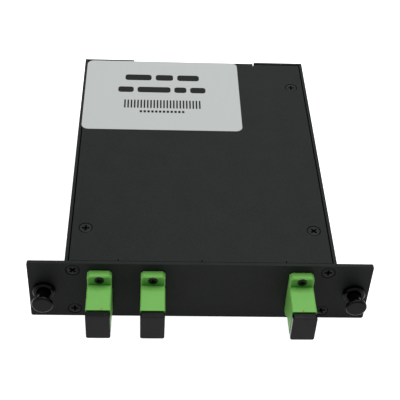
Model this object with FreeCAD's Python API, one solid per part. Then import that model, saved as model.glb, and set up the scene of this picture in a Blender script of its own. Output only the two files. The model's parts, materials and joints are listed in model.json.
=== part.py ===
import FreeCAD, Part

import math
import os

from FreeCAD import Placement, Rotation, Vector

# Fibre splitter cassette: a folded steel tray with a screwed cover and a wide front panel that carries
# three SC/APC adapters and two push-pull fasteners. Millimetres. While it is drawn, y = 0 is the panel's
# front face, +Y runs to the rear, z = 0 is the underside. save() moves it to the middle of its own box.

# sheet metal
PANEL_W, PANEL_H, PANEL_T = 130.0, 29.0, 1.5
PANEL_CORNER_R = 0.8
BODY_W, BODY_H, REAR_Y = 102.0, 29.0, 133.3
SHEET_T = 1.2
BEND_R = 1.8  # outside radius of the bends round the tray's floor
COVER_GAP = 0.5  # between the cover's edge and the side wall
COVER_FRONT_Y = 1.65
COVER_REAR_Y = 131.4  # cover edge at the two rear corners
REAR_FLANGE_W = 55.4
RELIEF_W = 0.75
RELIEF_Y = 130.5
REAR_OPENING_W = 56.5
COVER_BEND_R = 1.5
FRONT_WALL_TOP = 27.6
FLOOR_GAP = 0.4  # under the rear returns and the cover's flange
NICK_XS = (-31.1, 0.15, 31.9)
NICK_W, NICK_L = 0.35, 0.9
WINDOW_GAP, WINDOW_Z = 1.1, 2.6  # the front wall's windows: room beside an adapter, lower edge

# adapters, their caps and the plugs behind them
ADAPTER_XS = (-38.0, -18.0, 38.0)
AXIS_Z = 14.5
ADAPTER_W, ADAPTER_H = 9.2, 12.6
ADAPTER_FRONT, ADAPTER_REAR = -15.5, 12.8
ADAPTER_MID = (ADAPTER_FRONT + ADAPTER_REAR) / 2
FLANGE_W, FLANGE_H, FLANGE_T = 9.2, 21.8, 3.2
FLANGE_CHAMFER = 1.0
EDGE_BEVEL = 0.4
PORT_W, PORT_H, CAVITY_H = 7.6, 9.3, 11.2
LIP_L = 1.0
KEYWAY_W, KEYWAY_L = 2.2, 3.5
PANEL_CLEARANCE = 0.15
FIT = 0.1  # gap between moulded pieces that seat in each other
EAR_SCREW_Z = 9.0
SLEEVE_R, SLEEVE_BORE_R, SLEEVE_L, SLEEVE_SLIT = 1.6, 1.255, 11.4, 0.5
HOLDER_R, HOLDER_BORE_R, HOLDER_L = 2.1, 1.66, 6.1
WEB_T = 1.2
ARM_W, ARM_T, ARM_L, HOOK_L, HOOK_DROP = 3.6, 0.8, 7.2, 1.1, 0.7
FERRULE_R, FERRULE_END = 1.24, 14.0
FERRULE_ANGLE = 8.0  # end face of an angle-polished ferrule, degrees
PLUG_W, PLUG_H, PLUG_WALL = 7.3, 8.9, 0.85
PLUG_FRONT, PLUG_REAR, BOOT_END = 0.6, 23.0, 37.0
GRIP_YS, GRIP_W, GRIP_DEPTH = (15.0, 17.0, 19.0), 1.0, 0.25
SHOULDER_L, SHOULDER_RISE = 1.3, 0.6  # ridges of the plug's core that the hooks catch
SOCKET_WALL, SOCKET_END = 0.3, 6.2  # room in the core for the sleeve's holder
BOOT_FRONT, BOOT_RINGS, BOOT_TIP_R = 20.0, 5, 1.0

CAP_W, CAP_H, CAP_T = 9.1, 12.1, 2.9
CAP_GAP, CAP_EDGE = 0.1, 0.15
CAP_BEVEL, CAP_CORNER = 0.5, 0.5
CAP_SKIRT_W, CAP_SKIRT_H, CAP_SKIRT_L, CAP_WALL = 7.3, 9.0, 6.9, 1.1

# push-pull panel fasteners, drawn pulled out
FASTENER_X = 59.2
GROMMET_R, GROMMET_T = 4.3, 2.0
GROMMET_BEVEL = 0.6
COLLAR_R, COLLAR_END = 3.3, 1.9  # the barrel's seat in the panel
BARREL_R, BARREL_END, LEG_SLOT_W, LEG_SLOT_Y = 3.1, 9.0, 0.8, 2.2
RECESS_R, RECESS_Y, RECESS_MOUTH_R, RECESS_RIM = 2.5, 3.6, 3.2, 0.4
LEG_BORE_R = 1.5
HEAD_R, HEAD_FRONT, HEAD_T = 4.05, -8.2, 1.5
HEAD_BEVEL = 0.5
NECK_R, NECK_END, SHAFT_R, SHAFT_END = 2.3, -1.0, 1.4, 6.0

# fasteners
PANEL_SCREW_X, PANEL_SCREW_ZS = 48.0, (4.1, 25.4)
COVER_SCREW_X, COVER_SCREW_YS = 44.2, (19.2, 113.7)
SCREW_HEAD_R, SCREW_RIM, SCREW_SHANK_R, SCREW_L = 2.4, 0.15, 1.45, 6.0
SINK_R, SINK_LIP, SINK_HOLE_R, TAPPED_R = 2.75, 0.2, 1.65, 1.5
SCREW_SUNK = 0.1  # how far a countersunk head sits below its surface
PILLAR_ACROSS, PILLAR_FOOT_R, PILLAR_BORE_L = 5.0, 2.0, 8.0
EAR_SCREW_R, EAR_HEAD_R, EAR_HEAD_T, EAR_SCREW_L = 0.95, 1.75, 0.55, 7.2
EAR_HOLE_R = 1.15
M3_RECESS = (1.45, 0.9, 0.55)  # cross recess: reach of each arm, depth, width
M2_RECESS = (0.95, 0.45, 0.4)
NUT_ACROSS, NUT_T = 4.0, 1.6

# label
LABEL_X, LABEL_Y, LABEL_T, LABEL_CORNER_R = (-49.8, 20.0), (80.5, 132.2), 0.12, 3.0

# splitter chip module and the fibres stored behind the adapters
MODULE_L, MODULE_W, MODULE_H = 50.0, 7.0, 4.0
MODULE_Y, MODULE_FLOOR = 70.3, 2.4
MODULE_BOOT_L, MODULE_BOOT_BIG, MODULE_BOOT_SMALL, MODULE_BOOT_EDGE = 4.0, (5.8, 3.0), (3.8, 1.8), 0.4
FIBRE_R, FIBRE_SIDES = 0.45, 6
FIBRE_PITCH = 1.6
MODULE_CLIP_X = 16.0
CLIP_L, CLIP_WALL = 5.0, 0.8
PRONG_WALL, PRONG_LIP, PRONG_TOP, PRONG_SKIRT = 1.0, 0.4, 0.7, 0.6
CLIP_SLIT = 0.35  # half the way in between a fibre clip's lips
FIBRE_CLIPS = {  # x, y, inner width, height, turn about Z
    "right": (44.4, 88, 5.6, 6.0, 0),
    "rear": (-9, 124.6, 5.0, 8.5, 90),
    "left": (-42.1, 92, 6.0, 10.5, 0),
}

MODULE_Z = MODULE_FLOOR + MODULE_H / 2
MODULE_END = MODULE_L / 2 + MODULE_BOOT_L
IN_X, OUT_A_X, OUT_B_X = ADAPTER_XS

# corner points of the fibre routes, rounded by the arcs of fibre()
INPUT_ROUTE = [
    (IN_X, BOOT_END, AXIS_Z), (IN_X, 56, AXIS_Z), (-12, 88, 12.8), (14, 95, 11.6), (31, 105, 10.6),
    (27, 121, 9.4), (5, 125.5, 8.4), (-24, 121, 7.2), (-42, 101, 5.6), (-45.5, 79, 4.6),
    (-37, MODULE_Y, MODULE_Z), (-MODULE_END, MODULE_Y, MODULE_Z),
]
OUTPUT_A_ROUTE = [
    (MODULE_END, MODULE_Y - FIBRE_PITCH / 2, MODULE_Z), (38, MODULE_Y - FIBRE_PITCH / 2, MODULE_Z),
    (47, 79, 4.6), (45, 98, 5.0), (30, 119, 5.4), (4, 127.2, 5.8), (-22, 124.5, 6.8),
    (-38.5, 106, 8.2), (-41, 88, 9.8), (-27, 64, 12.8), (OUT_A_X, 52, AXIS_Z), (OUT_A_X, BOOT_END, AXIS_Z),
]
OUTPUT_B_ROUTE = [
    (MODULE_END, MODULE_Y + FIBRE_PITCH / 2, MODULE_Z), (38, MODULE_Y + FIBRE_PITCH / 2, MODULE_Z),
    (44.8, 80, 5.0), (42.2, 97, 6.0), (26, 109.5, 7.2), (7, 107, 8.4), (-3, 92, 9.8),
    (4, 76, 11.6), (28, 60, 13.8), (OUT_B_X, 50, AXIS_Z), (OUT_B_X, BOOT_END, AXIS_Z),
]

CAP_FRONT = ADAPTER_FRONT - CAP_GAP - CAP_T
MIDDLE_Y = (CAP_FRONT + REAR_Y) / 2
X_AXIS, Y_AXIS, Z_AXIS = Vector(1, 0, 0), Vector(0, 1, 0), Vector(0, 0, 1)


def box(x0, x1, y0, y1, z0, z1):
    return Part.makeBox(x1 - x0, y1 - y0, z1 - z0, Vector(x0, y0, z0))


def rod(x, z, r, y0, y1):
    """A cylinder along Y."""
    return Part.makeCylinder(r, y1 - y0, Vector(x, y0, z), Y_AXIS)


def post(x, y, r, z0, z1):
    """A cylinder along Z."""
    return Part.makeCylinder(r, z1 - z0, Vector(x, y, z0), Z_AXIS)


def rounded_face(u0, u1, v0, v1, radii):
    """A rectangle in the XY plane. radii holds its corners in turn from (u0, v0), counter-clockwise."""
    corners = [Vector(u0, v0, 0), Vector(u1, v0, 0), Vector(u1, v1, 0), Vector(u0, v1, 0)]
    ways = [X_AXIS, Y_AXIS, -X_AXIS, -Y_AXIS]
    edges = []
    for i, (corner, r, way) in enumerate(zip(corners, radii, ways)):
        start, end = corner - ways[i - 1] * r, corner + way * r
        if r:
            centre = start + way * r
            middle = centre + (corner - centre).normalize() * r
            edges.append(Part.Arc(start, middle, end).toShape())
        following = (i + 1) % 4
        edges.append(Part.makeLine(end, corners[following] - way * radii[following]))
    return Part.Face(Part.Wire(edges))


def along_y(face, y0, y1):
    """Extrudes a face drawn with (x, z) in its own plane from y0 to y1."""
    upright = face.copy()
    upright.Placement = Placement(Vector(0, y1, 0), Rotation(X_AXIS, 90))
    return upright.extrude(Vector(0, y0 - y1, 0))


def along_x(face, x0, x1):
    """Extrudes a face drawn with (y, z) in its own plane from x0 to x1."""
    upright = face.copy()
    upright.Placement = Placement(Vector(x0, 0, 0), Rotation(Vector(1, 1, 1), 120))
    return upright.extrude(Vector(x1 - x0, 0, 0))


def along_z(face, z0, z1):
    lifted = face.copy()
    lifted.translate(Vector(0, 0, z0))
    return lifted.extrude(Vector(0, 0, z1 - z0))


def turned(profile, centre, way):
    """Revolves (distance along the axis, radius) points about an axis through centre, pointing along way."""
    points = [Vector(r, 0, along) for along, r in profile]
    solid = Part.Face(Part.makePolygon(points + points[:1])).revolve(Vector(), Z_AXIS, 360)
    solid.Placement = Placement(centre, Rotation(Z_AXIS, way))
    return solid


def copies(solid, places):
    return Part.makeCompound([solid.translated(Vector(*place)) for place in places])


def save(name, shape):
    moved = shape.copy()
    moved.translate(Vector(0, -MIDDLE_Y, 0))
    assert moved.isValid(), name
    moved.exportStep(f"parts/{name}.step")


# ---- sheet metal ----

def tray_form(inset, top):
    """Block with the tray's outer bends, or with its inner ones where inset is the sheet's thickness."""
    x, r = BODY_W / 2 - inset, BEND_R - inset
    y0, y1 = PANEL_T + inset, REAR_Y - inset
    across = along_y(rounded_face(-x, x, inset, top, (r, r, 0, 0)), y0, y1)
    lengthwise = along_x(rounded_face(y0, y1, inset, top, (r, 0, 0, 0)), -x, x)
    return across.common(lengthwise)


def base_tray():
    tray = tray_form(0, BODY_H).cut(tray_form(SHEET_T, BODY_H + 1))
    inner_x = BODY_W / 2 - SHEET_T
    half_opening = REAR_OPENING_W / 2
    cuts = [
        box(-inner_x, inner_x, 0, PANEL_T + 2 * SHEET_T, FRONT_WALL_TOP, BODY_H + 1),
        box(-half_opening, half_opening, REAR_Y - 2 * SHEET_T, REAR_Y + 1, SHEET_T, BODY_H + 1),
        box(BEND_R - BODY_W / 2, BODY_W / 2 - BEND_R, REAR_Y - 1.5 * SHEET_T, REAR_Y + 1,
            SHEET_T, SHEET_T + FLOOR_GAP),
    ]
    for x in ADAPTER_XS:
        window = ADAPTER_W / 2 + WINDOW_GAP
        cuts.append(box(x - window, x + window, 0, PANEL_T + 1.5 * SHEET_T, WINDOW_Z, BODY_H))
    for x, z in panel_screw_places():
        cuts.append(rod(x, z, TAPPED_R, 0, PANEL_T + SHEET_T))
    for x, y in cover_screw_places():
        cuts.append(post(x, y, PILLAR_FOOT_R, -1, SHEET_T + 1))
    return tray.cut(cuts)


def cover():
    edge_x = BODY_W / 2 - SHEET_T - COVER_GAP
    flange_x = REAR_FLANGE_W / 2
    under = BODY_H - SHEET_T
    plate = box(-edge_x, edge_x, COVER_FRONT_Y, COVER_REAR_Y, under, BODY_H)
    r = COVER_BEND_R
    outside = rounded_face(RELIEF_Y, REAR_Y, SHEET_T + FLOOR_GAP, BODY_H, (0, 0, r, 0))
    inside = rounded_face(RELIEF_Y - 1, REAR_Y - SHEET_T, 0, under, (0, 0, r - SHEET_T, 0))
    flange = along_x(outside, -flange_x, flange_x).cut(along_x(inside, -flange_x - 1, flange_x + 1))
    cover_solid = plate.fuse(flange).removeSplitter()
    cuts = [sink(Vector(x, y, BODY_H), Z_AXIS) for x, y in cover_screw_places()]
    for side in (-1, 1):
        relief = sorted((side * flange_x, side * (flange_x + RELIEF_W)))
        cuts.append(box(*relief, RELIEF_Y, REAR_Y + 1, 0, BODY_H + 1))
    for x in NICK_XS:
        cuts.append(box(x - NICK_W / 2, x + NICK_W / 2, 0, COVER_FRONT_Y + NICK_L, 0, BODY_H + 1))
    return cover_solid.cut(cuts)


def front_panel():
    r = PANEL_CORNER_R
    plate = along_y(rounded_face(-PANEL_W / 2, PANEL_W / 2, 0, PANEL_H, (r, r, r, r)), 0, PANEL_T)
    cuts = [sink(Vector(x, 0, z), -Y_AXIS) for x, z in panel_screw_places()]
    for x in ADAPTER_XS:
        w, h = ADAPTER_W / 2 + PANEL_CLEARANCE, ADAPTER_H / 2 + PANEL_CLEARANCE
        cuts.append(box(x - w, x + w, -1, PANEL_T + 1, AXIS_Z - h, AXIS_Z + h))
    for x, z in ear_screw_places():
        cuts.append(rod(x, z, EAR_HOLE_R, -1, PANEL_T + 1))
    for side in (-1, 1):
        cuts.append(rod(side * FASTENER_X, AXIS_Z, COLLAR_R + PANEL_CLEARANCE, -1, PANEL_T + 1))
    return plate.cut(cuts)


def label():
    r = LABEL_CORNER_R
    return along_z(rounded_face(*LABEL_X, *LABEL_Y, (r, r, r, r)), BODY_H, BODY_H + LABEL_T)


# ---- screws, nuts and pillars ----

def panel_screw_places():
    return [(side * PANEL_SCREW_X, z) for side in (-1, 1) for z in PANEL_SCREW_ZS]


def cover_screw_places():
    return [(side * COVER_SCREW_X, y) for side in (-1, 1) for y in COVER_SCREW_YS]


def ear_screw_places():
    return [(x, AXIS_Z + side * EAR_SCREW_Z) for x in ADAPTER_XS for side in (-1, 1)]


def sink(surface, out):
    """Countersunk hole through a sheet, as a cutter. surface is on its face and out is that face's normal."""
    depth = SINK_LIP + SINK_R - SINK_HOLE_R
    profile = [(-1, 0), (-1, SINK_R), (SINK_LIP, SINK_R), (depth, SINK_HOLE_R), (3, SINK_HOLE_R), (3, 0)]
    return turned(profile, surface, -out)


def cross_recess(reach, depth, width):
    """Cutter for a cross recess in a head whose top is at z = 0."""
    half = width / 2
    quarter = [(reach, -half), (reach, half), (half, half)]
    points = []
    for turn in range(4):
        for u, v in quarter:
            for _ in range(turn):
                u, v = -v, u
            points.append(Vector(u, v, 0))
    return Part.Face(Part.makePolygon(points + points[:1])).extrude(Vector(0, 0, depth))


def countersunk_screw(surface, out, turn):
    """M3 screw whose head sits just under surface, with its cross recess turned by turn degrees."""
    neck = SCREW_RIM + SCREW_HEAD_R - SCREW_SHANK_R
    profile = [(0, 0), (0, SCREW_HEAD_R), (SCREW_RIM, SCREW_HEAD_R), (neck, SCREW_SHANK_R),
               (SCREW_L, SCREW_SHANK_R), (SCREW_L, 0)]
    screw = turned(profile, Vector(), Z_AXIS).cut(cross_recess(*M3_RECESS))
    screw = screw.rotated(Vector(), Z_AXIS, turn)
    screw.Placement = Placement(surface - out * SCREW_SUNK, Rotation(Z_AXIS, -out)).multiply(screw.Placement)
    return screw


def cover_screws():
    turns = (0, 0, 40, 0)
    return Part.makeCompound([
        countersunk_screw(Vector(x, y, BODY_H), Z_AXIS, turn)
        for (x, y), turn in zip(cover_screw_places(), turns)
    ])


def panel_screws():
    turns = (0, 45, 20, 0)
    return Part.makeCompound([
        countersunk_screw(Vector(x, 0, z), -Y_AXIS, turn)
        for (x, z), turn in zip(panel_screw_places(), turns)
    ])


def hexagon(across, z):
    corner = across / math.sqrt(3)
    angles = [math.radians(30 + 60 * i) for i in range(7)]
    points = [Vector(corner * math.cos(a), corner * math.sin(a), z) for a in angles]
    return Part.Face(Part.makePolygon(points))


def pillars():
    """Threaded hexagonal pillars, their feet pressed into the tray's floor, one under each cover screw."""
    floor, top = SHEET_T, BODY_H - SHEET_T
    pillar = hexagon(PILLAR_ACROSS, floor).extrude(Vector(0, 0, top - floor))
    pillar = pillar.fuse(post(0, 0, PILLAR_FOOT_R, 0, floor))
    pillar = pillar.cut(post(0, 0, TAPPED_R, top - PILLAR_BORE_L, top + 1))
    return copies(pillar, [(x, y, 0) for x, y in cover_screw_places()])


def adapter_screws():
    """M2 pan-head screws through the adapter flanges."""
    end = EAR_HEAD_T + EAR_SCREW_L
    profile = [(0, 0), (0, EAR_HEAD_R), (EAR_HEAD_T, EAR_HEAD_R), (EAR_HEAD_T, EAR_SCREW_R),
               (end, EAR_SCREW_R), (end, 0)]
    screw = turned(profile, Vector(), Z_AXIS).cut(cross_recess(*M2_RECESS))
    screw.Placement = Placement(Vector(0, -FLANGE_T - EAR_HEAD_T, 0), Rotation(Z_AXIS, Y_AXIS))
    return copies(screw, [(x, 0, z) for x, z in ear_screw_places()])


def adapter_nuts():
    nut = along_y(hexagon(NUT_ACROSS, 0), PANEL_T, PANEL_T + NUT_T)
    nut = nut.cut(rod(0, 0, EAR_SCREW_R + 0.05, 0, PANEL_T + NUT_T + 1))
    return copies(nut, [(x, 0, z) for x, z in ear_screw_places()])


# ---- adapters, caps and plugs: each is drawn round its own axis at x = 0, z = 0 ----

def chamfered_face(half_w, half_h, c):
    points = [(half_w, half_h - c), (half_w - c, half_h), (c - half_w, half_h), (-half_w, half_h - c),
              (-half_w, c - half_h), (c - half_w, -half_h), (half_w - c, -half_h), (half_w, c - half_h)]
    return Part.Face(Part.makePolygon([Vector(u, v, 0) for u, v in points + points[:1]]))


def octagon(half):
    return chamfered_face(half, half, half * (2 - math.sqrt(2)))


def bevelled(solid, y, size):
    """Bevels the edges that lie in the plane at y."""
    return solid.makeChamfer(size, [e for e in solid.Edges if all(abs(v.Y - y) < 1e-6 for v in e.Vertexes)])


def adapter_housing():
    """Moulded adapter: a tube with two lipped, keyed ports and a flange with an ear above and below."""
    body = along_y(chamfered_face(ADAPTER_W / 2, ADAPTER_H / 2, EDGE_BEVEL), ADAPTER_FRONT, ADAPTER_REAR)
    flange = along_y(chamfered_face(FLANGE_W / 2, FLANGE_H / 2, FLANGE_CHAMFER), -FLANGE_T, 0)
    flange = bevelled(flange, -FLANGE_T, EDGE_BEVEL)
    w, h, cavity = PORT_W / 2, PORT_H / 2, CAVITY_H / 2
    cuts = [
        box(-w, w, ADAPTER_FRONT - 1, ADAPTER_REAR + 1, -h, h),
        box(-w, w, ADAPTER_FRONT + LIP_L, ADAPTER_REAR - LIP_L, -cavity, cavity),
    ]
    for mouth, inward in ((ADAPTER_FRONT, 1), (ADAPTER_REAR, -1)):
        y0, y1 = sorted((mouth - inward, mouth + inward * KEYWAY_L))
        cuts.append(box(0, ADAPTER_W, y0, y1, -KEYWAY_W / 2, KEYWAY_W / 2))
    for side in (-1, 1):
        cuts.append(rod(0, side * EAR_SCREW_Z, EAR_HOLE_R, -FLANGE_T - 1, 1))
    return body.fuse(flange).cut(cuts).removeSplitter()


def latch_half(way):
    """One half of the latch insert: a web with half the sleeve's holder and two hooked arms.

    It is drawn for the rear port, from the middle plane at y = 0, and mirrored for the front one."""
    arm_out = CAVITY_H / 2 - FIT
    web = box(FIT - PORT_W / 2, PORT_W / 2 - FIT, 0, WEB_T, -arm_out, arm_out)
    half = web.fuse(rod(0, 0, HOLDER_R, 0, HOLDER_L))
    arm_in = arm_out - ARM_T
    hook = [(ARM_L, arm_out), (ARM_L, arm_in), (ARM_L - 0.2, arm_in - HOOK_DROP),
            (ARM_L - HOOK_L, arm_in - HOOK_DROP), (ARM_L - HOOK_L, arm_in), (0, arm_in), (0, arm_out)]
    outline = Part.makePolygon([Vector(-ARM_W / 2, y, z) for y, z in hook + hook[:1]])
    arm = Part.Face(outline).extrude(Vector(ARM_W, 0, 0))
    half = half.fuse([arm, arm.mirror(Vector(), Z_AXIS)])
    half = half.cut(rod(0, 0, HOLDER_BORE_R, -1, HOLDER_L + 1)).removeSplitter()
    if way < 0:
        half = half.mirror(Vector(), Y_AXIS)
    return half.translated(Vector(0, ADAPTER_MID, 0))


def split_sleeve():
    y0, y1 = ADAPTER_MID - SLEEVE_L / 2, ADAPTER_MID + SLEEVE_L / 2
    tube = rod(0, 0, SLEEVE_R, y0, y1).cut(rod(0, 0, SLEEVE_BORE_R, y0 - 1, y1 + 1))
    return tube.cut(box(-SLEEVE_SLIT / 2, SLEEVE_SLIT / 2, y0 - 1, y1 + 1, 0, SLEEVE_R + 1))


def plug_housing():
    """Outer shell of the plug in the rear port, with a window above and below for the adapter's hooks."""
    w, h = PLUG_W / 2, PLUG_H / 2
    shell = along_y(chamfered_face(w, h, EDGE_BEVEL), PLUG_FRONT, PLUG_REAR)
    hook_y = ADAPTER_MID + ARM_L
    window = ARM_W / 2 + 0.2
    cuts = [
        box(PLUG_WALL - w, w - PLUG_WALL, PLUG_FRONT - 1, PLUG_REAR + 1, PLUG_WALL - h, h - PLUG_WALL),
        box(-window, window, hook_y - 3.2, hook_y + 0.8, -h - 1, h + 1),
    ]
    for y in GRIP_YS:
        for x in (-w, w):
            cuts.append(box(x - GRIP_DEPTH, x + GRIP_DEPTH, y, y + GRIP_W, -h - 1, h + 1))
    return shell.cut(cuts)


def plug_core():
    """Inner body of the plug: it holds the ferrule, and the hooks catch its two shoulders."""
    w, h = PLUG_W / 2 - PLUG_WALL - FIT, PLUG_H / 2 - PLUG_WALL - FIT
    shoulder_end = ADAPTER_MID + ARM_L - HOOK_L - FIT
    core = box(-w, w, PLUG_FRONT + 2 * FIT, BOOT_FRONT, -h, h)
    core = core.fuse(box(-ARM_W / 2, ARM_W / 2, shoulder_end - SHOULDER_L, shoulder_end,
                         -h - SHOULDER_RISE, h + SHOULDER_RISE))
    return core.cut([
        rod(0, 0, HOLDER_R + SOCKET_WALL, 0, SOCKET_END),
        rod(0, 0, FERRULE_R + 0.01, 0, FERRULE_END),
    ]).removeSplitter()


def ferrule():
    """Ceramic ferrule, its end face polished at an angle about the sleeve's middle."""
    pin = rod(0, 0, FERRULE_R, ADAPTER_MID - 1, FERRULE_END)
    wedge = box(-3, 3, ADAPTER_MID - 6, ADAPTER_MID, -6, 6)
    return pin.cut(wedge.rotated(Vector(0, ADAPTER_MID, 0), X_AXIS, FERRULE_ANGLE))


def plug_boot():
    """Soft strain relief, gripped by the plug's rear end and stepping down in rings to the fibre."""
    grip = PLUG_W / 2 - PLUG_WALL - FIT
    ring_l = (BOOT_END - PLUG_REAR) / BOOT_RINGS
    step = (grip - BOOT_TIP_R) / (BOOT_RINGS - 1)
    boot = along_y(octagon(grip), BOOT_FRONT, PLUG_REAR)
    for i in range(BOOT_RINGS):
        start = PLUG_REAR + i * ring_l
        boot = boot.fuse(along_y(octagon(grip - i * step), start, start + ring_l))
    return boot.removeSplitter()


def dust_cap():
    """Hollow plug for the port, with a head that covers its mouth."""
    back = ADAPTER_FRONT - CAP_GAP
    head = along_y(chamfered_face(CAP_W / 2, CAP_H / 2, CAP_CORNER), CAP_FRONT, back)
    head = bevelled(bevelled(head, back, CAP_BEVEL), CAP_FRONT, CAP_EDGE)
    w, h = CAP_SKIRT_W / 2, CAP_SKIRT_H / 2
    skirt = along_y(chamfered_face(w, h, EDGE_BEVEL), back - 0.5, back + CAP_SKIRT_L)
    hollow = box(CAP_WALL - w, w - CAP_WALL, back, back + CAP_SKIRT_L + 1, CAP_WALL - h, h - CAP_WALL)
    return head.fuse(skirt).cut(hollow).removeSplitter()


# ---- push-pull fasteners, drawn round x = 0, z = 0 ----

def grommet():
    """Flanged barrel with a collar that fills the panel's hole and four legs, recessed for the neck."""
    front = -GROMMET_T
    profile = [(front + RECESS_RIM, RECESS_R), (front, RECESS_MOUTH_R), (front, GROMMET_R - GROMMET_BEVEL),
               (front + GROMMET_BEVEL, GROMMET_R), (0, GROMMET_R), (0, COLLAR_R), (COLLAR_END, COLLAR_R),
               (COLLAR_END, BARREL_R), (BARREL_END, BARREL_R), (BARREL_END, LEG_BORE_R),
               (RECESS_Y, LEG_BORE_R), (RECESS_Y, RECESS_R)]
    body = turned(profile, Vector(), Y_AXIS)
    slot = box(-BARREL_R - 1, BARREL_R + 1, LEG_SLOT_Y, BARREL_END + 1, -LEG_SLOT_W / 2, LEG_SLOT_W / 2)
    return body.cut([slot.rotated(Vector(), Y_AXIS, angle) for angle in (45, 135)])


def plunger():
    """Mushroom head, neck and the shaft that spreads the grommet's legs."""
    front, back = HEAD_FRONT, HEAD_FRONT + HEAD_T
    profile = [(front, 0), (front, HEAD_R - HEAD_BEVEL), (front + HEAD_BEVEL, HEAD_R), (back, HEAD_R),
               (back, NECK_R), (NECK_END, NECK_R), (NECK_END, SHAFT_R), (SHAFT_END, SHAFT_R), (SHAFT_END, 0)]
    return turned(profile, Vector(), Y_AXIS)


# ---- splitter module and fibres ----

def splitter_module():
    half = MODULE_W / 2
    face = rounded_face(MODULE_Y - half, MODULE_Y + half, MODULE_FLOOR, MODULE_FLOOR + MODULE_H, (0.6,) * 4)
    return along_x(face, -MODULE_L / 2, MODULE_L / 2)


def module_boot(side):
    """Soft strain relief that tapers from the module's end to its fibres."""
    wires = []
    for x, (w, h) in ((MODULE_L / 2, MODULE_BOOT_BIG), (MODULE_END, MODULE_BOOT_SMALL)):
        face = chamfered_face(w / 2, h / 2, MODULE_BOOT_EDGE)
        face.Placement = Placement(Vector(side * x, MODULE_Y, MODULE_Z), Rotation(Vector(1, 1, 1), 120))
        wires.append(face.OuterWire)
    return Part.makeLoft(wires, True, True)


def module_clip(x):
    """Moulded clip on the tray's floor whose two prongs snap over the module."""
    half, top, out = MODULE_W / 2, MODULE_FLOOR + MODULE_H, MODULE_W / 2 + PRONG_WALL
    outline = [(half, MODULE_FLOOR), (half, top), (half - PRONG_LIP, top + FIT), (half, top + PRONG_TOP),
               (out, top + PRONG_TOP), (out, MODULE_FLOOR), (out + PRONG_SKIRT, SHEET_T)]
    ring = outline + [(-y, z) for y, z in reversed(outline)]
    points = [Vector(x - CLIP_L / 2, MODULE_Y + y, z) for y, z in ring + ring[:1]]
    return Part.Face(Part.makePolygon(points)).extrude(Vector(CLIP_L, 0, 0))


def fibre_clip(x, y, width, height, turn):
    """Snap-over saddle on the tray's floor: a base and two posts whose lips leave a slit for the fibres."""
    w, z0, z1 = width / 2, SHEET_T, SHEET_T + height
    t = CLIP_WALL
    outer = along_y(rounded_face(-w - t, w + t, z0, z1 + t, (0, 0, 1.0, 1.0)), -CLIP_L / 2, CLIP_L / 2)
    inner = along_y(rounded_face(-w, w, z0 + t, z1, (0.2, 0.2, 0.5, 0.5)), -CLIP_L, CLIP_L)
    saddle = outer.cut([inner, box(-CLIP_SLIT, CLIP_SLIT, -CLIP_L, CLIP_L, z1 - 1, z1 + t + 1)])
    return saddle.rotated(Vector(), Z_AXIS, turn).translated(Vector(x, y, 0))


def fibre(route):
    """Tube along a route's straight runs, joined by arcs tangent to both runs at each point.

    Its section is a hexagon, because the tube is long and thin."""
    points = [Vector(*p) for p in route]
    runs = [b - a for a, b in zip(points, points[1:])]
    edges, last, radii = [], points[0], []
    for point, before, after in zip(points[1:], runs, runs[1:]):
        half_turn = before.getAngle(after) / 2
        reach = 0.45 * min(before.Length, after.Length)
        radii.append(reach / math.tan(half_turn))
        into, out = before * (1 / before.Length), after * (1 / after.Length)
        start, end = point - into * reach, point + out * reach
        inward = (out - into).normalize()
        middle = point + inward * radii[-1] * (1 / math.cos(half_turn) - 1)
        edges += [Part.LineSegment(last, start).toShape(), Part.Arc(start, middle, end).toShape()]
        last = end
    edges.append(Part.LineSegment(last, points[-1]).toShape())
    path = Part.Wire(edges)
    facing = Rotation(Z_AXIS, runs[0])
    angles = [math.tau * i / FIBRE_SIDES for i in range(FIBRE_SIDES)]
    ring = [points[0] + facing.multVec(Vector(math.cos(a), math.sin(a), 0) * FIBRE_R) for a in angles]
    tube = path.makePipeShell([Part.makePolygon(ring + ring[:1])], True, False)
    area = FIBRE_SIDES * FIBRE_R**2 * math.sin(math.tau / FIBRE_SIDES) / 2
    ratio = tube.Volume / (area * path.Length)
    print(f"fibre {path.Length:.1f} mm, smallest radius {min(radii):.1f} mm, volume ratio {ratio:.4f}")
    return tube


def main():
    os.makedirs("parts", exist_ok=True)
    save("base_tray", base_tray())
    save("cover", cover())
    save("front_panel", front_panel())
    save("label", label())
    save("cover_screws", cover_screws())
    save("panel_screws", panel_screws())
    save("pillars", pillars())
    save("adapter_screws", adapter_screws())
    save("adapter_nuts", adapter_nuts())

    per_port = {
        "adapter_housing": adapter_housing(),
        "adapter_latch_front": latch_half(-1),
        "adapter_latch_rear": latch_half(1),
        "adapter_sleeve": split_sleeve(),
        "dust_cap": dust_cap(),
        "plug_housing": plug_housing(),
        "plug_core": plug_core(),
        "plug_ferrule": ferrule(),
        "plug_boot": plug_boot(),
    }
    for number, x in enumerate(ADAPTER_XS, 1):
        for name, solid in per_port.items():
            save(f"{name}_{number}", solid.translated(Vector(x, 0, AXIS_Z)))

    for side, hand in ((-1, "left"), (1, "right")):
        place = Vector(side * FASTENER_X, 0, AXIS_Z)
        save(f"grommet_{hand}", grommet().translated(place))
        save(f"plunger_{hand}", plunger().translated(place))

    save("splitter_module", splitter_module())
    save("module_boot_in", module_boot(-1))
    save("module_boot_out", module_boot(1))
    save("module_clip_left", module_clip(-MODULE_CLIP_X))
    save("module_clip_right", module_clip(MODULE_CLIP_X))
    for name, sizes in FIBRE_CLIPS.items():
        save(f"fibre_clip_{name}", fibre_clip(*sizes))
    save("fibre_input", fibre(INPUT_ROUTE))
    save("fibre_output_a", fibre(OUTPUT_A_ROUTE))
    save("fibre_output_b", fibre(OUTPUT_B_ROUTE))


main()
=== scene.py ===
import json
import math

import bmesh
import bpy
from mathutils import Matrix, Vector

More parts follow.
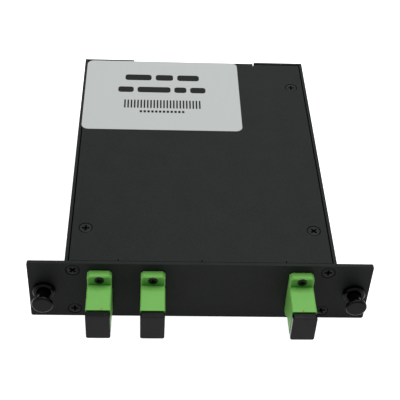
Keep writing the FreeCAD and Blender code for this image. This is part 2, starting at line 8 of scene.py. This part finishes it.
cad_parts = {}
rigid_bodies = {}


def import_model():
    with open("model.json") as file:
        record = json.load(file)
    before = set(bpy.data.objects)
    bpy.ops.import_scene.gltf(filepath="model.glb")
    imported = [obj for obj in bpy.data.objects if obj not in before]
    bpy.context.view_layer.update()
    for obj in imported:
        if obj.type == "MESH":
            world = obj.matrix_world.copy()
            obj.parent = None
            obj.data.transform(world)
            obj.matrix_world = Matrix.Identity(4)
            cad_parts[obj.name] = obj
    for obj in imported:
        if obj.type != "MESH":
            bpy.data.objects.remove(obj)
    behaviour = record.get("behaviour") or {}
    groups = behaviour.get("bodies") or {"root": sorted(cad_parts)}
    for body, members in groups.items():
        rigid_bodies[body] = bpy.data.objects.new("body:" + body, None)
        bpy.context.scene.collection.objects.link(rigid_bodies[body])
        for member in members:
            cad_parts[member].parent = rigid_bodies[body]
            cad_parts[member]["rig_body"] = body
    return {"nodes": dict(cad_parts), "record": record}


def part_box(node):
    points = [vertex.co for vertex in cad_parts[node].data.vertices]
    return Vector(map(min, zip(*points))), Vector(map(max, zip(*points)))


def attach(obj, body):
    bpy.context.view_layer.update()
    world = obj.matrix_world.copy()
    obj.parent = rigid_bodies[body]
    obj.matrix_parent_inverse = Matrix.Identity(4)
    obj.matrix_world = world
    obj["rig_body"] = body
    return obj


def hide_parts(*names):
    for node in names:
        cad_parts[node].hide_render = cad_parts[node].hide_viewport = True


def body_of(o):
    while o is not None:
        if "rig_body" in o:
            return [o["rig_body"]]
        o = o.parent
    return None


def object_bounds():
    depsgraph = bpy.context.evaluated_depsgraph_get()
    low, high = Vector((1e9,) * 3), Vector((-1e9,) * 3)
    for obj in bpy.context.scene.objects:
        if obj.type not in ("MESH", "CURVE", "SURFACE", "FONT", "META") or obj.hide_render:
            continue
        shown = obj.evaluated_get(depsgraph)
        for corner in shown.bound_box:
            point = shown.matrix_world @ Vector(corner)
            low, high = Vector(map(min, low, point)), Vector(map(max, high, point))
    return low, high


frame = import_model()
cad_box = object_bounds()
nodes = frame["nodes"]

MM = 0.001
slots = {part["node"]: part["material_slot"] for part in frame["record"]["subparts"]}

EDGE_ANGLE = math.radians(30)  # edges sharper than this are rounded
SMOOTH_ANGLE = math.radians(40)
FLAT_ANGLE = math.radians(0.5)  # faces that meet at less are one flat side
WELD = 2e-7  # metres within which corners are one

PORTS = (1, 2, 3)
# screws, mm: reach, arm and recess are the half length, width and depth of the cross in the head
M3 = dict(head_r=2.4, shank_r=1.45, length=6.0, pitch=0.5, reach=1.5, arm=0.9, recess=1.9)
M2 = dict(head_r=1.75, head_h=0.55, shank_r=0.95, length=7.2, pitch=0.4, reach=0.95, arm=0.45, recess=1.2)

ADAPTER_HALF_H = 6.3  # from the adapter's middle to its body's top, mm
GATE_SCARS = {1: (1.3, 0.6), 3: (-0.5, 0.5)}  # adapter: across from its middle, back from its front, mm
LABEL_CORNER = 3.0
PRINT_T = 0.015
PAPER_UNDER_TOP = 0.02  # room that the print has above the paper in the label's box
STRIPES = 24
TICKS = 12
LABEL_ROWS = [  # x from the label's middle, y from its front edge, mm
    dict(x=-17.0, y=36.5, height=4.4, gap=1.9, widths=(12.0, 8.0, 10.0)),
    dict(x=-20.0, y=27.2, height=4.2, gap=1.7, widths=(7.0, 15.0, 5.5, 7.0)),
    dict(x=-17.0, y=15.5, height=6.0, gap=0.75, widths=(0.7,) * STRIPES),
    dict(x=-10.0, y=12.2, height=1.6, gap=0.6, widths=(1.1,) * TICKS),
]

# rounding of each kind of node's edges, mm
EDGE_ROUNDING = {
    "adapter_housing": 0.15, "adapter_latch": 0.08, "adapter_sleeve": 0.03, "adapter_nuts": 0.1,
    "dust_cap": 0.25, "grommet": 0.25, "plunger": 0.3, "pillars": 0.1,
    "plug_housing": 0.15, "plug_core": 0.1, "plug_ferrule": 0.05, "plug_boot": 0.15,
    "splitter_module": 0.1, "module_boot": 0.1, "module_clip": 0.1, "fibre_clip": 0.1,
}

# studio, metres and watts
WORLD_LIGHT = 0.19
FLOOR_GLOW = 0.9
FLOOR_HALF = 3.0
LAMPS = [
    dict(name="overhead", place=(0.0, -0.02, 0.9), aim=(0, 0, 0), size=(1.2, 0.4), power=3.85),
    dict(name="rear", place=(0.24, 0.33, 0.85), aim=(0, 0, 0), size=(0.6, 0.25), power=3.5),
    dict(name="left", place=(-0.8, -0.16, 0.3), aim=(0, 0, 0.02), size=(0.3, 0.4), power=1.1),
]


# ---- shader helpers ----

class Shader:
    """A node material with a Principled surface and short calls that add and link nodes."""

    def __init__(self, name, color=(0.8, 0.8, 0.8), roughness=0.5, specular=0.5, metallic=0.0):
        self.material = bpy.data.materials.new(name)
        self.material.use_nodes = True
        self.tree = self.material.node_tree
        self.surface = self.tree.nodes["Principled BSDF"]
        self.surface.inputs["Base Color"].default_value = (*color, 1)
        self.surface.inputs["Roughness"].default_value = roughness
        self.surface.inputs["Specular IOR Level"].default_value = specular
        self.surface.inputs["Metallic"].default_value = metallic
        self.coords = self.add("ShaderNodeTexCoord").outputs["Object"]

    def add(self, kind, **settings):
        node = self.tree.nodes.new(kind)
        for key, value in settings.items():
            setattr(node, key, value)
        return node

    def link(self, source, target):
        self.tree.links.new(source, target)

    def noise(self, size, detail=2.0, roughness=0.5, stretch=(1, 1, 1)):
        """Noise whose features are about size metres across."""
        mapping = self.add("ShaderNodeMapping")
        mapping.inputs["Scale"].default_value = stretch
        self.link(self.coords, mapping.inputs["Vector"])
        noise = self.add("ShaderNodeTexNoise")
        noise.inputs["Scale"].default_value = 1 / size
        noise.inputs["Detail"].default_value = detail
        noise.inputs["Roughness"].default_value = roughness
        self.link(mapping.outputs["Vector"], noise.inputs["Vector"])
        return noise.outputs["Fac"]

    def remap(self, value, low, high, to_low, to_high):
        node = self.add("ShaderNodeMapRange")
        for key, number in (("From Min", low), ("From Max", high), ("To Min", to_low), ("To Max", to_high)):
            node.inputs[key].default_value = number
        self.link(value, node.inputs["Value"])
        return node.outputs["Result"]

    def math(self, operation, a, b):
        node = self.add("ShaderNodeMath", operation=operation)
        for socket, value in zip(node.inputs, (a, b)):
            if isinstance(value, (int, float)):
                socket.default_value = value
            else:
                self.link(value, socket)
        return node.outputs["Value"]

    def mix(self, factor, color_a, color_b):
        node = self.add("ShaderNodeMix", data_type="RGBA")
        if isinstance(factor, (int, float)):
            node.inputs["Factor"].default_value = factor
        else:
            self.link(factor, node.inputs["Factor"])
        for socket, value in ((node.inputs[6], color_a), (node.inputs[7], color_b)):
            if isinstance(value, tuple):
                socket.default_value = (*value, 1)
            else:
                self.link(value, socket)
        return node.outputs[2]

    def open_to_light(self, reach):
        """1 on open surface, falling to 0 in crevices narrower than reach."""
        occlusion = self.add("ShaderNodeAmbientOcclusion", samples=8)
        occlusion.inputs["Distance"].default_value = reach
        return occlusion.outputs["AO"]

    def facing_front(self):
        """1 on faces that point forward (-Y), 0 on tops and sides."""
        split = self.add("ShaderNodeSeparateXYZ")
        self.link(self.add("ShaderNodeTexCoord").outputs["Normal"], split.inputs["Vector"])
        return self.remap(split.outputs["Y"], -0.95, -0.6, 1, 0)

    def color(self, source):
        self.link(source, self.surface.inputs["Base Color"])

    def roughness(self, source):
        self.link(source, self.surface.inputs["Roughness"])

    def bump(self, height, distance, strength=1.0, edge=0.0):
        """Bump from a height, over edges rounded by edge metres."""
        bump = self.add("ShaderNodeBump")
        bump.inputs["Strength"].default_value = strength
        bump.inputs["Distance"].default_value = distance
        self.link(height, bump.inputs["Height"])
        if edge:
            bevel = self.add("ShaderNodeBevel", samples=6)
            bevel.inputs["Radius"].default_value = edge
            self.link(bevel.outputs["Normal"], bump.inputs["Normal"])
        self.link(bump.outputs["Normal"], self.surface.inputs["Normal"])


# ---- materials ----

def powder_coat():
    """Fine-textured satin black coating: a dense small grain, a faint mottle, and painted shade in its
    crevices.
    """
    s = Shader("powder_coat", roughness=0.5, specular=0.07)
    grain = s.noise(0.45 * MM, detail=3, roughness=0.65)
    mottle = s.noise(9 * MM, detail=2)
    shade = s.remap(grain, 0.3, 0.7, 0.75, 1.25)
    shade = s.math("MULTIPLY", shade, s.remap(mottle, 0.3, 0.7, 0.94, 1.06))
    tint = s.mix(s.remap(shade, 0.7, 1.3, 0, 1), (0.0088, 0.0098, 0.0096), (0.0196, 0.0212, 0.0210))
    # painted shade: the base colour goes nearly black where ambient occlusion finds a crevice, such as the
    # ring round a sunk screw
    s.color(s.mix(s.open_to_light(0.6 * MM), (0.0005, 0.0005, 0.0005), tint))
    s.roughness(s.remap(grain, 0.3, 0.7, 0.45, 0.55))
    s.bump(grain, 0.05 * MM, 0.5, edge=0.15 * MM)
    return s.material


def moulded(name, color, dark, roughness, specular=0.45, grain_size=0.7, depth=0.02, edge=0.25, painted_shade_color=None):
    """Moulded plastic: slight colour drift, fine grain and softened edges.

    The last argument, if given, is the colour of painted shade laid on front faces that nearby parts hide
    from light."""
    s = Shader(name, roughness=roughness, specular=specular)
    drift = s.noise(4 * MM, detail=2)
    grain = s.noise(grain_size * MM, detail=2)
    tint = s.mix(s.remap(drift, 0.35, 0.65, 0, 1), color, dark)
    if painted_shade_color:
        # painted shade: front faces in spots that nearby parts hide from light get the darker, more saturated
        # colour
        painted_shade_mask = s.remap(s.open_to_light(6 * MM), 0.45, 0.95, 1, 0)
        tint = s.mix(s.math("MULTIPLY", painted_shade_mask, s.facing_front()), tint, painted_shade_color)
    s.color(tint)
    s.roughness(s.remap(grain, 0.3, 0.7, roughness - 0.06, roughness + 0.06))
    s.bump(grain, depth * MM, 0.4, edge=edge * MM)
    return s.material


def cap_plastic():
    """Soft matt black plastic with a few pale specks of dust."""
    s = Shader("cap_plastic", roughness=0.22, specular=0.105)
    drift = s.noise(3 * MM, detail=3)
    specks = s.remap(s.noise(0.8 * MM, detail=1), 0.73, 0.8, 0, 0.5)
    black = s.mix(s.remap(drift, 0.3, 0.7, 0, 1), (0.001, 0.001, 0.001), (0.002, 0.002, 0.002))
    s.color(s.mix(specks, black, (0.12, 0.12, 0.12)))
    grain = s.noise(0.5 * MM, detail=2)
    s.roughness(s.remap(grain, 0.3, 0.7, 0.19, 0.25))
    s.bump(grain, 0.01 * MM, 0.2)
    return s.material


def black_finish(name, dark, light, roughness, specular):
    """Blackened steel: a thin dark film with small rubbed patches, and painted shade in its recesses."""
    s = Shader(name, roughness=roughness, specular=specular)
    wear = s.noise(0.6 * MM, detail=3)
    film = s.mix(s.remap(wear, 0.35, 0.65, 0, 1), dark, light)
    # painted shade: the base colour goes nearly black in the cross recess and other crevices that ambient
    # occlusion finds
    s.color(s.mix(s.open_to_light(0.6 * MM), (0.0005, 0.0005, 0.0005), film))
    s.roughness(s.remap(wear, 0.3, 0.7, roughness - 0.06, roughness + 0.08))
    s.bump(wear, 0.02 * MM, 0.3)
    return s.material


def metal(name, color, roughness, stretch=(1, 1, 1)):
    """Bare metal with fine drawn lines along the axis that stretch shortens."""
    s = Shader(name, color=color, roughness=roughness, metallic=1.0)
    lines = s.noise(0.3 * MM, detail=3, stretch=stretch)
    s.color(s.mix(lines, tuple(0.85 * c for c in color), color))
    s.roughness(s.remap(lines, 0.3, 0.7, roughness - 0.08, roughness + 0.08))
    s.bump(lines, 0.01 * MM, 0.3)
    return s.material


def label_paper():
    s = Shader("label_paper", roughness=0.55, specular=0.3)
    fibres = s.noise(0.25 * MM, detail=4, roughness=0.7)
    s.color(s.mix(fibres, (0.482, 0.507, 0.501), (0.538, 0.562, 0.555)))
    s.bump(fibres, 0.01 * MM, 0.3)
    return s.material


def gate_scar_brown():
    s = Shader("gate_scar", roughness=0.6, specular=0.3)
    burn = s.noise(0.15 * MM, detail=2)
    s.color(s.mix(burn, (0.36, 0.13, 0.03), (0.26, 0.19, 0.04)))
    s.bump(burn, 0.02 * MM, 0.4)
    return s.material


def print_ink():
    s = Shader("print_ink", roughness=0.5, specular=0.06)
    dots = s.noise(0.2 * MM, detail=2)
    s.color(s.mix(dots, (0.008, 0.008, 0.009), (0.02, 0.02, 0.021)))
    return s.material


MATERIALS = {
    "black_coated_steel": powder_coat(),
    "label_paper": label_paper(),
    "black_screws": black_finish("black_screws", (0.011, 0.0115, 0.0115), (0.0195, 0.0205, 0.0205),
                                 0.48, 0.1),
    "glossy_screws": black_finish("glossy_screws", (0.002, 0.002, 0.002), (0.006, 0.006, 0.006), 0.22, 0.15),
    "plated_steel": metal("plated_steel", (0.62, 0.62, 0.6), 0.35),
    # the last colour is painted shade on the front faces of the adapters' flanges
    "green_plastic": moulded("green_plastic", (0.174, 0.466, 0.096), (0.164, 0.449, 0.090), 0.45, 0.2,
                             edge=0.12, painted_shade_color=(0.018, 0.185, 0.008)),
    "green_plug_plastic": moulded("green_plug_plastic", (0.09, 0.33, 0.07), (0.08, 0.3, 0.06), 0.4),
    "natural_plastic": moulded("natural_plastic", (0.72, 0.71, 0.66), (0.68, 0.67, 0.62), 0.45),
    "zirconia": moulded("zirconia", (0.82, 0.8, 0.76), (0.8, 0.78, 0.74), 0.15, edge=0.05),
    "cap_plastic": cap_plastic(),
    "fastener_nylon": moulded("fastener_nylon", (0.001, 0.001, 0.001), (0.002, 0.002, 0.002), 0.2, 0.08),
    "boot_rubber": moulded("boot_rubber", (0.05, 0.2, 0.045), (0.04, 0.17, 0.04), 0.6, edge=0.2),
    "module_steel": metal("module_steel", (0.6, 0.61, 0.62), 0.3, stretch=(0.05, 1, 1)),
    "clip_plastic": moulded("clip_plastic", (0.7, 0.7, 0.67), (0.66, 0.66, 0.63), 0.45),
    "label_ink": print_ink(),
    "gate_scar": gate_scar_brown(),
    "fibre_sheath": moulded("fibre_sheath", (0.78, 0.74, 0.5), (0.74, 0.7, 0.47), 0.4, edge=0.1),
}


# ---- shapes ----

def add_piece(name, mesh, material, body, *stands_for):
    """Links a mesh that rides a body, has a material and stands for the CAD nodes named."""
    piece = bpy.data.objects.new(name, mesh)
    bpy.context.scene.collection.objects.link(piece)
    mesh.materials.clear()
    mesh.materials.append(MATERIALS[material])
    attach(piece, body)
    if stands_for:
        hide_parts(*stands_for)
    return piece


def applied(mesh, *modifiers):
    """The mesh that these modifiers, each a kind and its settings, make of this one."""
    carrier = bpy.data.objects.new("carrier", mesh)
    bpy.context.scene.collection.objects.link(carrier)
    for kind, settings in modifiers:
        modifier = carrier.modifiers.new(kind.title(), kind)
        for key, value in settings.items():
            setattr(modifier, key, value)
    graph = bpy.context.evaluated_depsgraph_get()
    shown = carrier.evaluated_get(graph)
    result = bpy.data.meshes.new_from_object(shown, preserve_all_data_layers=True, depsgraph=graph)
    bpy.data.objects.remove(carrier)
    return result


def smoothed(mesh):
    """Smooth shading that keeps flat sides flat and sharp edges sharp."""
    mesh.shade_smooth()
    mesh.set_sharp_from_angle(angle=SMOOTH_ANGLE)
    return applied(mesh, ("WEIGHTED_NORMAL", dict(keep_sharp=True, weight=100)))


def rounded(mesh, width, segments):
    return applied(mesh, ("BEVEL", dict(
        width=width, segments=segments, limit_method="ANGLE", angle_limit=EDGE_ANGLE,
        use_clamp_overlap=True, miter_outer="MITER_ARC",
    )))


def flat_faced(node):
    """A copy of a CAD node's mesh with its corners shared and each flat side made one face."""
    mesh = nodes[node].data.copy()
    work = bmesh.new()
    work.from_mesh(mesh)
    bmesh.ops.remove_doubles(work, verts=work.verts, dist=WELD)
    bmesh.ops.dissolve_limit(work, angle_limit=FLAT_ANGLE, verts=work.verts, edges=work.edges)
    work.to_mesh(mesh)
    work.free()
    return mesh


def soften(node, width, segments=2):
    """Stands a copy with rounded edges in for a CAD node."""
    mesh = smoothed(rounded(flat_faced(node), width * MM, segments))
    add_piece(f"{node}_rounded", mesh, slots[node], *body_of(nodes[node]), node)


def dress_nodes():
    """Gives every CAD node the material of its slot."""
    for part in frame["record"]["subparts"]:
        mesh = nodes[part["node"]].data
        mesh.materials.clear()
        mesh.materials.append(MATERIALS[part["material_slot"]])


def lathe(profile, segments=48):
    """A closed mesh turned about Z from (radius, height) points that start and end on the axis, top first."""
    work = bmesh.new()
    rings = []
    for r, z in profile:
        if r == 0:
            rings.append([work.verts.new((0, 0, z))] * segments)
            continue
        angles = [math.tau * i / segments for i in range(segments)]
        rings.append([work.verts.new((r * math.cos(a), r * math.sin(a), z)) for a in angles])
    for upper, lower in zip(rings, rings[1:]):
        for i in range(segments):
            n = (i + 1) % segments
            corners = dict.fromkeys((upper[i], lower[i], lower[n], upper[n]))
            work.faces.new(list(corners))
    mesh = bpy.data.meshes.new("lathe")
    work.to_mesh(mesh)
    work.free()
    return mesh


def outline_solid(rings):
    """A closed mesh from rings of 3-D points, each joined to the next, with the first and last filled."""
    work = bmesh.new()
    made = [[work.verts.new(p) for p in ring] for ring in rings]
    for upper, lower in zip(made, made[1:]):
        for i in range(len(upper)):
            n = (i + 1) % len(upper)
            work.faces.new((upper[i], lower[i], lower[n], upper[n]))
    work.faces.new(made[0])
    work.faces.new(list(reversed(made[-1])))
    bmesh.ops.recalc_face_normals(work, faces=work.faces)
    mesh = bpy.data.meshes.new("outline")
    work.to_mesh(mesh)
    work.free()
    return mesh


def cross(reach, half, z):
    """The outline of a cross with arms along X and Y at height z."""
    arm = [(reach, -half), (reach, half), (half, half)]
    points = []
    for turn in range(4):
        for u, v in arm:
            for _ in range(turn):
                u, v = -v, u
            points.append((u, v, z))
    return points


def with_cross_recess(mesh, top, reach, half, depth):
    """Cuts a tapered cross recess, narrowing to its tip, into a head whose top is at the given height."""
    cutter_mesh = outline_solid([
        cross(reach * 1.06, half * 1.1, top + depth * 0.2), cross(reach, half, top),
        cross(reach * 0.7, half * 0.8, top - depth * 0.7), cross(half * 0.9, half * 0.5, top - depth),
    ])
    cutter = bpy.data.objects.new("cutter", cutter_mesh)
    bpy.context.scene.collection.objects.link(cutter)
    cut = applied(mesh, ("BOOLEAN", dict(operation="DIFFERENCE", object=cutter, solver="EXACT")))
    bpy.data.objects.remove(cutter)
    return cut


def joined(meshes):
    """One mesh made of several, which it uses up."""
    work = bmesh.new()
    for mesh in meshes:
        work.from_mesh(mesh)
        bpy.data.meshes.remove(mesh)
    result = bpy.data.meshes.new("joined")
    work.to_mesh(result)
    work.free()
    return result


def repeated(mesh, placements):
    """One mesh with a copy of mesh at each placement matrix."""
    copies = [mesh.copy() for _ in placements]
    for copy, matrix in zip(copies, placements):
        copy.transform(matrix)
    return joined(copies)


# ---- screws ----

def threaded(points, crest, root, start, end, pitch):
    """Adds a thread's ridges to a lathe profile, from one height down to another, and closes it."""
    turns = int((start - end) / pitch)
    for i in range(turns):
        z = start - i * pitch
        points += [(root, z), (crest, z - pitch / 2)]
    return points + [(root, end), (0, end)]


def countersunk_screw():
    r = M3["head_r"]
    head = [(0, 0), (r - 0.14, 0), (r - 0.04, -0.05), (r, -0.14), (r - 0.03, -0.24),
            (M3["shank_r"], -r + 1.3)]
    profile = threaded(head, M3["shank_r"], M3["shank_r"] - 0.3, -r + 1.2, -M3["length"], M3["pitch"])
    mesh = lathe([(r * MM, z * MM) for r, z in profile])
    return with_cross_recess(mesh, 0, M3["reach"] * MM, M3["arm"] / 2 * MM, M3["recess"] * MM)


def pan_screw():
    r, top = M2["head_r"], M2["head_h"]
    head = [(0, top), (r * 0.5, top - 0.03), (r * 0.8, top - 0.12), (r * 0.95, top - 0.27), (r, top - 0.42),
            (r, 0), (M2["shank_r"], 0)]
    profile = threaded(head, M2["shank_r"], M2["shank_r"] - 0.2, -0.2, -M2["length"], M2["pitch"])
    mesh = lathe([(r * MM, z * MM) for r, z in profile])
    return with_cross_recess(mesh, top * MM, M2["reach"] * MM, M2["arm"] / 2 * MM, M2["recess"] * MM)


def placed(point, facing, turn):
    """Matrix that stands a screw's top at point, facing outwards, with its recess turned by degrees."""
    stand = Vector(facing).to_track_quat("Z", "Y").to_matrix().to_4x4()
    return Matrix.Translation(point) @ stand @ Matrix.Rotation(math.radians(turn), 4, "Z")


def cover_screws():
    lo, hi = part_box("cover_screws")
    r = M3["head_r"] * MM
    spots = [(x, y) for x in (lo.x + r, hi.x - r) for y in (lo.y + r, hi.y - r)]
    places = [placed((x, y, hi.z), (0, 0, 1), turn) for (x, y), turn in zip(spots, (0, 0, 40, 0))]
    add_piece("cover_screw_set", smoothed(repeated(countersunk_screw(), places)), slots["cover_screws"],
              "cassette", "cover_screws")


def panel_screws():
    lo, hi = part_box("panel_screws")
    r = M3["head_r"] * MM
    spots = [(x, z) for x in (lo.x + r, hi.x - r) for z in (lo.z + r, hi.z - r)]
    places = [placed((x, lo.y, z), (0, -1, 0), turn) for (x, z), turn in zip(spots, (0, 45, 20, 0))]
    add_piece("panel_screw_set", smoothed(repeated(countersunk_screw(), places)), slots["panel_screws"],
              "cassette", "panel_screws")


def adapter_screws():
    lo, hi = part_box("adapter_screws")
    r = M2["head_r"] * MM
    seat = lo.y + M2["head_h"] * MM
    places = []
    for number in PORTS:
        left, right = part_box(f"adapter_housing_{number}")
        x = (left.x + right.x) / 2
        for z, turn in ((lo.z + r, 30), (hi.z - r, 10 * number)):
            places.append(placed((x, seat, z), (0, -1, 0), turn))
    piece = add_piece("adapter_screw_set", smoothed(repeated(pan_screw(), places)), "glossy_screws",
                      "cassette", "adapter_screws")


# ---- label ----

def slab(x0, x1, y0, y1, z0, z1, corner, steps=6):
    """A flat plate with rounded corners."""
    points = []
    for cx, cy, start in ((x1 - corner, y1 - corner, 0), (x0 + corner, y1 - corner, 90),
                          (x0 + corner, y0 + corner, 180), (x1 - corner, y0 + corner, 270)):
        for i in range(steps + 1):
            a = math.radians(start + 90 * i / steps)
            points.append((cx + corner * math.cos(a), cy + corner * math.sin(a)))
    return outline_solid([[(x, y, z) for x, y in points] for z in (z1, z0)])


def print_block(x, y, width, height, z):
    """One printed mark, x and y being its lower left corner in millimetres on the label."""
    corner = min(width, height) * 0.3
    return slab(x * MM, (x + width) * MM, y * MM, (y + height) * MM, z, z + PRINT_T * MM, corner * MM, 3)


def label():
    """Paper sheet with generic print: two rows of bars, a row of even stripes and a row of ticks."""
    lo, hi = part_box("label")
    paper_top = hi.z - PAPER_UNDER_TOP * MM
    sheet = slab(lo.x, hi.x, lo.y, hi.y, lo.z, paper_top, LABEL_CORNER * MM, 10)
    add_piece("label_sheet", smoothed(sheet), slots["label"], "cassette", "label")
    marks = []
    for row in LABEL_ROWS:
        x = row["x"]
        for width in row["widths"]:
            marks.append(print_block(x, row["y"], width, row["height"], paper_top))
            x += width + row["gap"]
    ink = joined(marks)
    ink.transform(Matrix.Translation(((lo.x + hi.x) / 2, lo.y, 0)))
    add_piece("label_print", ink, "label_ink", "cassette")


def gate_scar(number, across, back):
    """Brownish spot where the mould's gate was broken off, on top of an adapter near its front."""
    lo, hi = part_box(f"adapter_housing_{number}")
    body_top = (lo.z + hi.z) / 2 + ADAPTER_HALF_H * MM
    disc = lathe([(0, 0.03 * MM), (0.28 * MM, 0.03 * MM), (0.38 * MM, 0.01 * MM), (0.4 * MM, -0.01 * MM),
                  (0, -0.01 * MM)], 16)
    disc.transform(Matrix.Translation(((lo.x + hi.x) / 2 + across * MM, lo.y + back * MM, body_top)))
    add_piece(f"gate_scar_{number}", smoothed(disc), "gate_scar", "cassette")


# ---- stage ----

def shows_background(tree):
    """1 for the rays that show the white background: camera, glossy and transmission rays."""
    path = tree.nodes.new("ShaderNodeLightPath")
    total = path.outputs["Is Camera Ray"]
    for kind in ("Is Glossy Ray", "Is Transmission Ray"):
        node = tree.nodes.new("ShaderNodeMath")
        node.operation = "MAXIMUM"
        tree.links.new(total, node.inputs[0])
        tree.links.new(path.outputs[kind], node.inputs[1])
        total = node.outputs[0]
    return total


def floor():
    """Pale floor: white to the camera apart from the object's soft shadow."""
    mesh = bpy.data.meshes.new("floor")
    corners = [Vector((x * FLOOR_HALF, y * FLOOR_HALF, 0)) for x, y in ((-1, -1), (1, -1), (1, 1), (-1, 1))]
    mesh.from_pydata(corners, [], [(0, 1, 2, 3)])
    plane = bpy.data.objects.new("floor", mesh)
    plane.location.z = cad_box[0][2] - 0.02 * MM
    bpy.context.scene.collection.objects.link(plane)
    s = Shader("floor", color=(0.85, 0.85, 0.85), roughness=0.9, specular=0.1)
    glow = s.add("ShaderNodeEmission")
    glow.inputs["Strength"].default_value = FLOOR_GLOW
    bright = s.add("ShaderNodeAddShader")
    s.link(s.surface.outputs["BSDF"], bright.inputs[0])
    s.link(glow.outputs["Emission"], bright.inputs[1])
    pick = s.add("ShaderNodeMixShader")
    s.link(shows_background(s.tree), pick.inputs["Fac"])
    s.link(s.surface.outputs["BSDF"], pick.inputs[1])
    s.link(bright.outputs["Shader"], pick.inputs[2])
    s.link(pick.outputs["Shader"], s.tree.nodes["Material Output"].inputs["Surface"])
    mesh.materials.append(s.material)


def area_light(name, place, aim, size, power):
    data = bpy.data.lights.new(name, "AREA")
    data.shape = "RECTANGLE"
    data.size, data.size_y = size
    data.energy = power
    lamp = bpy.data.objects.new(name, data)
    lamp.location = place
    lamp.rotation_euler = (Vector(aim) - Vector(place)).to_track_quat("-Z", "Y").to_euler()
    bpy.context.scene.collection.objects.link(lamp)


def studio():
    world = bpy.data.worlds.new("studio")
    bpy.context.scene.world = world
    world.use_nodes = True
    tree = world.node_tree
    background = tree.nodes["Background"]
    strength = tree.nodes.new("ShaderNodeMapRange")
    strength.inputs["To Min"].default_value = WORLD_LIGHT
    strength.inputs["To Max"].default_value = 1.0
    tree.links.new(shows_background(tree), strength.inputs["Value"])
    tree.links.new(strength.outputs["Result"], background.inputs["Strength"])
    background.inputs["Color"].default_value = (1, 1, 1, 1)
    for lamp in LAMPS:
        area_light(**lamp)
    bpy.context.scene.view_settings.view_transform = "Standard"


def camera():
    data = bpy.data.cameras.new("camera")
    data.sensor_width = 36
    data.lens = 88.18
    eye = bpy.data.objects.new("camera", data)
    eye.location = (-0.01870, -0.31059, 0.29207)
    eye.rotation_euler = (0.8328, -0.0438, -0.0258)
    bpy.context.scene.collection.objects.link(eye)
    bpy.context.scene.camera = eye


dress_nodes()
for node in nodes:
    for kind, width in EDGE_ROUNDING.items():
        if node.startswith(kind):
            soften(node, width)
cover_screws()
panel_screws()
adapter_screws()
label()
for number, spot in GATE_SCARS.items():
    gate_scar(number, *spot)
floor()
studio()
camera()
